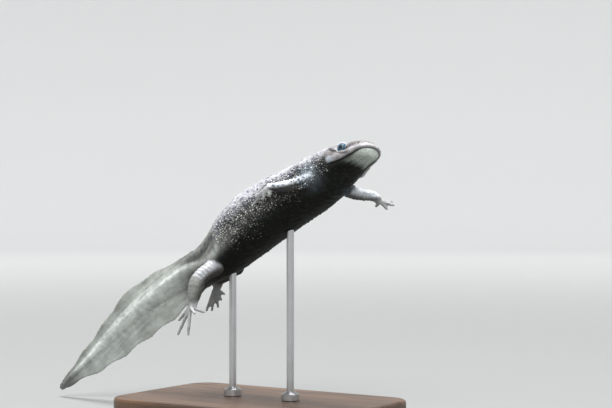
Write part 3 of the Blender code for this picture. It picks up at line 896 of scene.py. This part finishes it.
def lidded(points):
    """Points round each eye moved to make the lid ring and the opening in which the eye sits."""
    points = points.copy()
    for side in (1, -1):
        centre = eye_frame(side)[0]
        opening, distance = lid_opening(points, side)
        ring = 0.36 * hump(1.14, 0.18, opening) - 0.1 * hump(1.48, 0.14, opening)
        target = EYE_RADIUS + LID_GAP + ring - LID_TUCK * ramp(LID_EDGE, 0.9, opening)
        weight = ramp(1.8, 1.3, opening)
        moved = distance * (1 - weight) + target * weight
        moved = np.where(opening > LID_EDGE, np.maximum(moved, EYE_RADIUS + LID_CLEARANCE), moved)
        points = centre + (points - centre) * (moved / distance)[:, None]
    return points


def painted(colour, layers):
    """One colour with layers laid over it in turn, each a colour and its share at each point."""
    colours = np.tile(colour, (len(layers[0][1]), 1))
    for layer, share in layers:
        colours = colours + (np.array(layer) - colours) * share[:, None]
    return colours


def trunk_layers(places):
    """Pale back with a darker middle, near black painted shade under the belly and dark painted shade on the
    lower side of the neck.
    """
    return [
        (BACK_GREY, ramp(0, 34, places.round + 7 * places.patch)),
        (BACK_TOP_GREY, ramp(50, 72, places.round + 6 * places.patch)),
        # Painted shade: the underside near black
        (SHADE_BLACK, ramp(-14, -40, places.round)),
        # Painted shade on the lower side of the neck, under the head
        (NECK_AND_ARM_SHADE, hump(22.5, 4.0, places.along) * hump(-12, 24, places.round)),
    ]


def head_layers(places):
    """Head over the mouth, lip, line to the eye, pale chin with painted light at its front, painted shade
    along the mouth, in the nostrils, in the crease by the eye and in the band under the arm, cheek, nape and
    shoulder.
    """
    along, over_mouth = places.along, places.over_mouth
    over = ramp(0.0, 0.3, over_mouth)
    bridle = hump(0, 0.7, places.over(BRIDLE)) * span(BRIDLE_SPAN, along) * (places.outward > 2)
    slanted = along + 0.42 * places.across - 0.3 * places.outward
    chin = ramp(13, 0.5, slanted + 2 * places.patch + 1.3 * places.streak) * (1 - over)
    inside = ramp(19, 17, along) * (places.outward > 1) + (along < 3)
    nape = ramp(2, 24, places.round + 10 * places.patch) * ramp(72, 50, places.round)
    return [
        (HEAD_GREY, ramp(22, 17, along + 2 * places.patch) * over),
        (LIP_GREY, ramp(19.5, 16.5, along) * over * ramp(2.6, 1.4, over_mouth)),
        (SHADE_AND_LINE_BROWN, 0.6 * bridle * (0.6 + 0.4 * places.streak)),
        (CHIN_GREY, chin),
        # Paler front of the chin, partly painted light
        (CHIN_PALE_AND_LIT, chin * ramp(5, 1, along + 0.2 * places.across)),
        # Painted shade along the mouth line, near black
        (SHADE_BLACK, np.clip(inside, 0, 1) * hump(-0.08, 0.3, over_mouth)),
        # Painted shade in the nostril pits
        (SHADE_AND_LINE_BROWN, hump(0, 0.55, places.nostril)),
        (SHOULDER_BLUE, 0.7 * spot_share(places, *CHEEK_SPOT) * over),
        (BACK_GREY, 0.65 * hump(23, 5, along) * nape),
        # Painted shade in the crease under and behind the eye
        (SHADE_AND_LINE_BROWN, 0.85 * places.crease),
        (SHOULDER_BLUE, 0.3 * places.shoulder),
        # Painted shadow of the arm on the flank
        (NECK_AND_ARM_SHADE, 0.95 * places.arm_shadow),
    ]


def tail_layers(places):
    """Grey hip and tail, with painted shade in the groove over the hip and under the tail's root, a pale
    rail, a blotch at the root and a darker tip.
    """
    along, up = places.along, places.up
    # Painted shade: the underside of the tail's root keeps the darker colours
    shade = 0.75 * hump(106, 9, along) * ramp(15, -35, places.round)
    width = 1.3 + 1.3 * ramp(100, 120, along) - 1.1 * ramp(150, 190, along)
    paleness = span(PALE_RAIL_SPAN, along) * (0.45 + 0.3 * ramp(96, 112, along))
    return [
        (HIP_GREY, ramp(71, 88, along + 5 * places.patch) * ramp(-34, -12, places.round)),
        (TAIL_GREY, ramp(94, 116, along) * (1 - shade)),
        (TAIL_PALE, 0.28 * places.tail * ramp(0, -4, up)),
        (BLOTCH_AND_SHADE_GREY, 0.14 * places.tail * ramp(2, 5, up)),
        # Painted shade in the groove over the hip
        (BLOTCH_AND_SHADE_GREY, 0.85 * span(GROOVE_SHADE_SPAN, along) * hump(0, 1.2, places.over(HIP_GROOVE))),
        (TAIL_PALE, paleness * hump(0, width, places.over(SIDE_RAIL))),
        (BLOTCH_AND_SHADE_GREY, 0.85 * hump(104, 13, along) * ramp(2.0, 5.0, up + places.patch)),
        (TAIL_TIP_GREY, ramp(176, 194, along)),
    ]


def limb_layers(places):
    """Limbs with pale fold crests as painted highlight on their upper side, painted shade on their
    undersides, and the digits.
    """
    folds = ramp(0.35, -0.5, np.cos(2 * math.pi * places.limb_at / LIMB_FOLD))
    # The painted shade reaches higher on the near arm than on the far arm
    facing = places.facing - places.arm * np.where(places.near_side, 0.25, -0.2)
    layers = [
        (ARM_GREY, places.arm),
        (SHANK_GREY, places.shank),
        # Painted highlight on fold crests that face up
        (FOLD_HIGHLIGHT_WHITE, 0.8 * folds * (1 - places.shank) * ramp(-0.1, 0.5, places.facing)),
        (LIMB_UNDER_SHADE, ramp(-0.25, -0.85, facing)),
    ]
    at_shoulder = places.arm * ramp(8, 3, places.limb_at) * places.near_side
    return [(painted(THIGH_GREY, layers), places.limb * (1 - 0.8 * at_shoulder)), (DIGIT_GREY, places.digit)]


def region_colours(places):
    """Colour of the skin at each point, before its fine markings."""
    layers = trunk_layers(places) + head_layers(places) + tail_layers(places) + limb_layers(places)
    lid = ramp(0.7, 0.85, places.opening) * ramp(1.9, 1.35, places.opening)
    return painted(FLANK_GREY, layers + [(LID_GREY, lid)])


def tip_and_glint_colours(places):
    """Colour of the grains and wart tips at each point, pale partly by their own colour and partly as
    painted glints.
    """
    layers = [
        (BACK_TIP, ramp(-15, 25, places.round)),
        (LOW_TIP, ramp(-16, -42, places.round)),
        (NECK_TIP, 0.8 * places.nape_side),
        (BACK_TOP_TIP, ramp(45, 68, places.round)),
        (SHOULDER_BLUE, places.shoulder),
    ]
    return painted(FLANK_TIP, layers)


def wetness(places):
    """Share of the wet film on the skin, least under the body."""
    return ramp(-0.4, 0.5, places.facing) * (1 - 0.5 * places.digit)


def lengthwise(places):
    """Place of each point in the body's own axes, drawn together lengthwise for streaks."""
    return np.stack((places.along * 0.1, places.up, places.outward * 0.5), axis=1) * MM


def spottedness(places):
    """How dark the small dark spots are: strong on back, nape and near arm, none on fins and digits."""
    spotted = 0.12 + 0.63 * span(SPOTTED_SPAN, places.along) * ramp(-10, 12, places.round)
    spotted = spotted * (1 - 0.45 * ramp(50, 75, places.round))
    spotted = spotted * ramp(1.5, 2.0, places.opening) * (1 - 0.7 * places.limb)
    spotted = np.maximum(spotted, 0.75 * places.arm * places.near_side)
    return spotted * (1 - places.digit) * (1 - places.fin)


def wart_strength(places):
    """How thickly the skin is set with warts at each point, from 0 to 1."""
    along, patch = places.along, places.patch
    strength = ramp(18, 24, along) * ramp(86, 74, along + 5 * patch)
    strength = strength * ramp(-54, -8, places.round + 14 * patch)
    strength = strength * (1 - 0.88 * ramp(8, 27, places.round + 8 * patch))
    head_top = ramp(27, 16, along) * ramp(9, 16, along)
    strength = np.maximum(strength, 0.15 * head_top * ramp(0, 25, places.round))
    strength = np.maximum(strength * (1 - 0.4 * places.nape_side), places.shoulder)
    chest = ramp(40, 34, along) * ramp(-28, -40, places.round)
    strength = strength * (1 - 0.9 * chest)
    upper_arm = places.arm * ramp(13, 7, places.limb_at) * places.near_side
    strength = strength * ramp(0.6, 0.0, places.limb - upper_arm) * (1 - 0.9 * places.arm_shadow)
    strength = strength * ramp(1.8, 2.6, places.opening)
    return np.where(strength < 0.05, 0, strength)


def markings(places):
    """What the finishes read at each point of the skin, by the name of its attribute."""
    return {
        "region": region_colours(places),
        "tips": tip_and_glint_colours(places),
        "warty": wart_strength(places),
        "wet": wetness(places),
        "spotted": spottedness(places),
        "smooth_part": places.tail,
        "lie": lengthwise(places),
    }


def store(mesh, name, values):
    """Keeps a number or colour for each point of a mesh."""
    if values.ndim == 1:
        mesh.attributes.new(name, "FLOAT", "POINT").data.foreach_set("value", values.astype(np.float32))
        return
    full = np.ones((len(values), 4), np.float32)
    full[:, :3] = values
    mesh.attributes.new(name, "FLOAT_COLOR", "POINT").data.foreach_set("color", full.ravel())


def show(name, mesh, finish, replaced=()):
    """Piece of the model from a finished mesh, with its finish and its place in the record."""
    mesh.name = name
    piece = placed(name, mesh)
    mesh.materials.clear()
    mesh.materials.append(finish)
    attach(piece, "root")
    if replaced:
        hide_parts(*replaced)


def make_skin(finish):
    """The one skin over all of the newt, with its folds, lids and lips."""
    mesh = joined_skin()
    refine_head(mesh)
    edges = read_rows(mesh.edges, "vertices", 2, int)
    points = relaxed(read_rows(mesh.vertices, "co", 3), edges, RELAX_SHARES)
    set_points(mesh, points)
    normals = mesh_normals(mesh)
    places = SkinPlaces(points, normals)
    height = head_relief(places) + trunk_relief(places) + hip_relief(places) + tail_relief(places)
    height += limb_relief(places) + nostril_relief(places) + grain_relief(points, places)
    points = lidded(points + normals * height[:, None])
    set_points(mesh, points)
    mesh.shade_smooth()
    marks = markings(places)
    for name, values in marks.items():
        store(mesh, name, values)
    normals = mesh_normals(mesh)
    set_points(mesh, points * MM)
    show("skin", mesh, finish, FLESH_NODES)
    return points, normals, places, marks


def wart_roots(points, strength):
    """Points of the skin that carry a wart, none closer than the spacing, by seeded chance."""
    chance = np.random.default_rng(PLACE_SEED)
    order = chance.permutation(len(points))
    order = order[chance.random(len(points))[order] < strength[order]]
    neighbours = list(itertools.product((-1, 0, 1), repeat=3))
    taken = {}
    chosen = []
    for index in order:
        spot = points[index]
        east, north, rise = (int(value) for value in np.floor(spot / WART_SPACING))
        near = [
            points[other]
            for step in neighbours
            for other in taken.get((east + step[0], north + step[1], rise + step[2]), ())
        ]
        if all(np.linalg.norm(other - spot) >= WART_SPACING for other in near):
            taken.setdefault((east, north, rise), []).append(index)
            chosen.append(index)
    return np.array(chosen)


def wart_ball():
    """Corners and triangles of one wart, a ball with its poles out and in."""
    ball = bmesh.new()
    bmesh.ops.create_uvsphere(ball, u_segments=WART_SIDES, v_segments=WART_RINGS, radius=1)
    bmesh.ops.triangulate(ball, faces=ball.faces)
    corners = np.array([vert.co for vert in ball.verts])
    faces = np.array([[vert.index for vert in face.verts] for face in ball.faces])
    ball.free()
    return corners, faces


def make_warts(name, roots, skin, finish):
    """Small round warts of one side of the body, joined as one mesh."""
    points, normals, places, marks = skin
    chance = np.random.default_rng(SIZE_SEED)
    template, faces = wart_ball()
    count = len(roots)
    corner_count = len(template)
    sizes = WART_SMALL + WART_GROWTH * chance.random(count) ** 1.8
    sizes = sizes * (0.75 + 0.25 * marks["warty"][roots])
    pale = chance.random(count) ** 1.3
    sideways = unit(np.cross(normals[roots], (0.3, 0.5, 0.81)))
    onward = np.cross(normals[roots], sideways)
    axes = np.stack((sideways, onward, normals[roots] * WART_HEIGHT), axis=1)
    spots = points[roots][:, None, :] + (template * sizes[:, None, None]) @ axes
    faces = faces + np.arange(count)[:, None, None] * corner_count
    mesh = bpy.data.meshes.new(name)
    mesh.from_pydata((spots.reshape(-1, 3) * MM).tolist(), [], faces.reshape(-1, 3).tolist())
    mesh.shade_smooth()
    for attribute, values in marks.items():
        store(mesh, attribute, np.repeat(values[roots], corner_count, axis=0))
    store(mesh, "tip", np.tile(template[:, 2], count))
    store(mesh, "pale", np.repeat(pale, corner_count))
    turn = np.arctan2(places.up, places.across) / UV_TURN + 0.5
    rolled_out = np.stack((places.along / UV_LENGTH, turn), axis=1)[roots]
    unwrap = (rolled_out[:, None, :] + template[:, :2] * UV_WART).reshape(-1, 2)
    corners = read_rows(mesh.loops, "vertex_index", 1, int)[:, 0]
    layer = mesh.uv_layers.new(name="OFBake")
    layer.data.foreach_set("uv", unwrap[corners].astype(np.float32).ravel())
    show(name, mesh, finish)


class Value:
    """A number that a finish works out at each point, for use in ordinary sums."""

    def __init__(self, finish, socket):
        self.finish = finish
        self.socket = socket

    def math(self, operation, *others):
        socket = self.finish.node("ShaderNodeMath", {"operation": operation}, (self,) + others)
        return Value(self.finish, socket)

    def __add__(self, other):
        return self.math("ADD", other)

    __radd__ = __add__

    def __mul__(self, other):
        return self.math("MULTIPLY", other)

    __rmul__ = __mul__

    def __sub__(self, other):
        return self.math("SUBTRACT", other)

    def __rsub__(self, other):
        return (self * -1) + other

    def step(self, low, high):
        """0 below low and 1 above high, smooth between. With low over high it falls."""
        if low > high:
            return 1 - self.step(high, low)
        settings = {"interpolation_type": "SMOOTHSTEP"}
        socket = self.finish.node("ShaderNodeMapRange", settings, (self, low, high, 0.0, 1.0))
        return Value(self.finish, socket)


class Finish:
    """A material and the nodes that make it."""

    def __init__(self, name):
        self.material = bpy.data.materials.new(name)
        self.material.use_nodes = True
        self.tree = self.material.node_tree
        self.shader = self.tree.nodes["Principled BSDF"]
        self.place = self.node("ShaderNodeTexCoord", {}, (), "Object")

    def node(self, kind, settings, inputs, output=0):
        """Adds a node, sets it up, fills its sockets in order or by name, and gives one output."""
        made = self.tree.nodes.new(kind)
        for name, value in settings.items():
            setattr(made, name, value)
        pairs = inputs.items() if isinstance(inputs, dict) else enumerate(inputs)
        for key, value in pairs:
            self.fill(made.inputs[key], value)
        return made.outputs[output]

    def fill(self, socket, value):
        """Links a value or socket, or sets a constant. A colour gets its fourth number here."""
        if isinstance(value, Value):
            value = value.socket
        if isinstance(value, bpy.types.NodeSocket):
            self.tree.links.new(value, socket)
        elif socket.type == "RGBA":
            socket.default_value = (*value, 1)
        else:
            socket.default_value = value

    def attribute(self, name, output="Fac"):
        return self.node("ShaderNodeAttribute", {"attribute_name": name}, (), output)

    def number(self, name):
        return Value(self, self.attribute(name))

    def vectors(self, operation, *inputs, output=0):
        return self.node("ShaderNodeVectorMath", {"operation": operation}, inputs, output)

    def stretched(self, scale):
        """Place on the object, drawn out along an axis whose scale is small."""
        return self.node("ShaderNodeMapping", {}, {"Vector": self.place, "Scale": scale})

    def noise(self, scale, detail=2.0, roughness=0.5, place=None):
        """Noise from 0 to 1 with so many waves to the metre."""
        inputs = {"Vector": place or self.place, "Scale": scale, "Detail": detail, "Roughness": roughness}
        return Value(self, self.node("ShaderNodeTexNoise", {}, inputs, "Fac"))

    def cells(self, scale):
        """Distance to the nearest of scattered points, so many to the metre."""
        inputs = {"Vector": self.place, "Scale": scale}
        return Value(self, self.node("ShaderNodeTexVoronoi", {}, inputs, "Distance"))

    def mix(self, share, first, second):
        """First colour where share is 0, second where it is 1."""
        return self.node("ShaderNodeMix", {"data_type": "RGBA"}, {0: share, 6: first, 7: second}, 2)

    def scaled(self, colour, amount):
        """Colour made lighter or darker."""
        inputs = {"Vector": colour, "Scale": amount}
        return self.node("ShaderNodeVectorMath", {"operation": "SCALE"}, inputs)

    def bump(self, height, distance, strength):
        inputs = {"Height": height, "Distance": distance, "Strength": strength}
        self.fill(self.shader.inputs["Normal"], self.node("ShaderNodeBump", {}, inputs))

    def set(self, **inputs):
        for name, value in inputs.items():
            self.fill(self.shader.inputs[name.replace("_", " ")], value)


def skin_finish(name, with_tips):
    """Grey granular skin. The warts have the same markings with paler tips, which are partly painted glints.
    """
    finish = Finish(name)
    warty = finish.number("warty")
    smooth = finish.number("smooth_part")
    blotches = finish.noise(150, 3, 0.6)
    patches = finish.noise(420, 3, 0.6)
    specks = finish.noise(1500, 2, 0.6)
    streaks = finish.noise(650, 3, 0.6, finish.attribute("lie", "Vector"))
    amount = 0.8 + 0.25 * (blotches.step(0.35, 0.65) - 0.2 * smooth)
    amount = amount + (1 - 0.9 * smooth) * (0.8 * (patches - 0.5) + 0.6 * (specks - 0.5))
    amount = amount + smooth * 0.7 * (streaks - 0.5)
    spots = finish.cells(560).step(0.42, 0.27) * finish.noise(110).step(0.15, 0.3)
    spots = spots * finish.number("spotted")
    grains = finish.cells(1000)
    grain_tops = grains.step(0.38, 0.15)
    colour = finish.attribute("region", "Color")
    pale = finish.attribute("tips", "Color")
    height = finish.noise(700, 4, 0.65) * 0.5 + specks * 0.25
    if with_tips:
        tip = finish.number("tip").step(-0.2, 0.8) * finish.number("pale")
        colour = finish.mix(spots, finish.scaled(colour, amount), SPOT_BLUE)
        colour = finish.mix(tip * (1 - 0.8 * spots), colour, pale)
    else:
        clusters = finish.noise(300, 3, 0.6).step(0.42, 0.62)
        amount = amount * (1 - warty * (0.2 + 0.4 * grains.step(0.4, 0.7))) + 0.5 * warty * clusters
        colour = finish.mix(grain_tops * warty * (0.3 + 0.5 * clusters), finish.scaled(colour, amount), pale)
        colour = finish.mix(spots, colour, SPOT_BLUE)
        height = height + grain_tops * (0.3 + 0.7 * warty) * 0.5
    finish.set(Base_Color=colour, Roughness=0.5 + 0.2 * patches, Specular_IOR_Level=0.1)
    finish.set(Coat_Weight=finish.number("wet") * 0.25, Coat_Roughness=0.3)
    finish.bump(height, 0.00035, 0.8)
    return finish.material


def eye_finish(side):
    """Dark wet eye: dark pupil, narrow faint ring, dark blue-grey iris."""
    centre, look, _, _ = eye_frame(side)
    finish = Finish("eye_wet_left" if side > 0 else "eye_wet_right")
    ray = finish.vectors("NORMALIZE", finish.vectors("SUBTRACT", finish.place, tuple(centre * MM)))
    facing = Value(finish, finish.vectors("DOT_PRODUCT", ray, tuple(look), output="Value"))
    fleck = finish.noise(2500, 3, 0.6)
    edge = facing + 0.02 * (fleck - 0.5)
    pupil = edge.step(*PUPIL_EDGE)
    iris = finish.mix(fleck.step(0.3, 0.75), IRIS_DARK, IRIS_BLUE)
    iris = finish.mix(edge.step(*RING_EDGE) * (1 - pupil) * 0.4, iris, RING_GREY)
    finish.set(Base_Color=finish.mix(pupil, iris, PUPIL_DARK), Roughness=0.3)
    finish.set(Specular_IOR_Level=0.1, Coat_Weight=0.04, Coat_Roughness=0.08)
    return finish.material


def make_eyes():
    """Two round eyeballs in their lids."""
    for side, node in ((1, "eye_left"), (-1, "eye_right")):
        shape = bmesh.new()
        bmesh.ops.create_uvsphere(shape, u_segments=EYE_GRID[0], v_segments=EYE_GRID[1], radius=EYE_RADIUS)
        bmesh.ops.translate(shape, vec=eye_frame(side)[0], verts=shape.verts)
        bmesh.ops.scale(shape, vec=(MM, MM, MM), verts=shape.verts)
        mesh = mesh_of(shape, node)
        mesh.shade_smooth()
        show(f"{node}_ball", mesh, eye_finish(side), (node,))


def wood_finish():
    """Dark satin wood with long grain along the base."""
    finish = Finish("base_wood")
    grain = finish.stretched((0.07, 1.0, 1.0))
    rings = finish.noise(260, 4, 0.6, grain)
    fibres = finish.noise(2200, 3, 0.7, grain)
    share = rings.step(0.35, 0.65) * 0.7 + fibres * 0.3
    finish.set(Base_Color=finish.mix(share, WOOD_DARK, WOOD_PALE), Roughness=0.4 + 0.18 * fibres)
    finish.set(Coat_Weight=0.12, Coat_Roughness=0.25)
    finish.bump(fibres + rings * 0.5, 0.00015, 0.5)
    return finish.material


def steel_finish():
    """Brushed steel with fine rings round the rod."""
    finish = Finish("rod_steel")
    lines = finish.noise(6000, 3, 0.6, finish.stretched((0.1, 0.1, 1.0)))
    colour = finish.mix(finish.noise(80, 3, 0.6), STEEL_DARK, STEEL_PALE)
    finish.set(Base_Color=colour, Metallic=1.0, Roughness=0.24 + 0.16 * lines)
    finish.bump(lines, 0.00004, 0.4)
    return finish.material


def finish_stand():
    """Gives the CAD base and rods their wood and steel."""
    wood = wood_finish()
    steel = steel_finish()
    for name, material in (("stand_base", wood), ("stand_rod_front", steel), ("stand_rod_rear", steel)):
        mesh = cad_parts[name].data
        mesh.materials.clear()
        mesh.materials.append(material)


def stage_finish():
    """Even pale paint, darker near the middle of the floor, where the light falls full."""
    finish = Finish("stage_paint")
    from_middle = Value(finish, finish.vectors("LENGTH", finish.place, output="Value"))
    colour = finish.mix(from_middle.step(0.3, 2.4), FLOOR_PAINT, WALL_PAINT)
    finish.set(Base_Color=finish.scaled(colour, 0.97 + 0.04 * finish.noise(0.8)), Roughness=0.9)
    return finish.material


def make_stage():
    """Pale floor that curves up all round into a pale wall."""
    shape = bmesh.new()
    profile = [(0.0, 0.0), (FLOOR_RADIUS, 0.0)]
    for step in range(1, COVE_STEPS + 1):
        turn = math.radians(90 * step / COVE_STEPS)
        out = FLOOR_RADIUS + COVE_RADIUS * math.sin(turn)
        profile.append((out, COVE_RADIUS - COVE_RADIUS * math.cos(turn)))
    profile.append((FLOOR_RADIUS + COVE_RADIUS, WALL_HEIGHT))
    corners = [shape.verts.new((radius, 0, height)) for radius, height in profile]
    edges = [shape.edges.new(pair) for pair in zip(corners, corners[1:])]
    bmesh.ops.spin(
        shape,
        geom=corners + edges,
        cent=(0, 0, 0),
        axis=(0, 0, 1),
        dvec=(0, 0, 0),
        angle=2 * math.pi,
        steps=STAGE_SIDES,
        use_merge=True,
        use_duplicate=False,
    )
    bmesh.ops.remove_doubles(shape, verts=shape.verts, dist=0.0001)
    bmesh.ops.recalc_face_normals(shape, faces=shape.faces)
    mesh = mesh_of(shape, "floor")
    mesh.shade_smooth()
    mesh.materials.append(stage_finish())
    floor = placed("floor", mesh)


def light_scene():
    """Soft light from above, a weaker one from before the model, and an even pale sky."""
    for name, place, size, power in LAMPS:
        lamp = bpy.data.lights.new(name, "AREA")
        lamp.size = size
        lamp.energy = power
        holder = placed(name, lamp)
        holder.location = place
        aim = Vector(LAMP_TARGET) - Vector(place)
        holder.rotation_euler = aim.to_track_quat("-Z", "Y").to_euler()
    world = bpy.data.worlds.new("sky")
    bpy.context.scene.world = world
    world.use_nodes = True
    world.node_tree.nodes["Background"].inputs["Color"].default_value = SKY_COLOUR
    world.node_tree.nodes["Background"].inputs["Strength"].default_value = SKY_STRENGTH
    bpy.context.scene.view_settings.view_transform = "Standard"


def place_camera():
    """Level camera to the right of the newt and a little ahead, below its head."""
    camera = bpy.data.cameras.new("camera")
    camera.sensor_width = SENSOR_WIDTH
    camera.lens = SENSOR_WIDTH * CAMERA_FOCAL / PICTURE_WIDTH
    camera.clip_start = 0.01
    away = Vector((-math.sin(CAMERA_AZIMUTH), math.cos(CAMERA_AZIMUTH), 0))
    right = Vector((math.cos(CAMERA_AZIMUTH), math.sin(CAMERA_AZIMUTH), 0))
    target = Vector(SPINE[CAMERA_TARGET]) + right * CAMERA_SIDE + Vector((0, 0, CAMERA_RISE))
    holder = placed("camera", camera)
    holder.location = (target - away * CAMERA_AWAY) * MM
    holder.rotation_euler = away.to_track_quat("-Z", "Y").to_euler()
    bpy.context.scene.camera = holder


def main():
    place_camera()
    light_scene()
    make_stage()
    finish_stand()
    make_eyes()
    skin = make_skin(skin_finish("skin_granular", False))
    finish = skin_finish("wart_granular", True)
    points, _, places, marks = skin
    roots = wart_roots(points, marks["warty"])
    for name, side in (("warts_left", 1), ("warts_right", -1)):
        make_warts(name, roots[places.across[roots] * side > 0], skin, finish)


main()
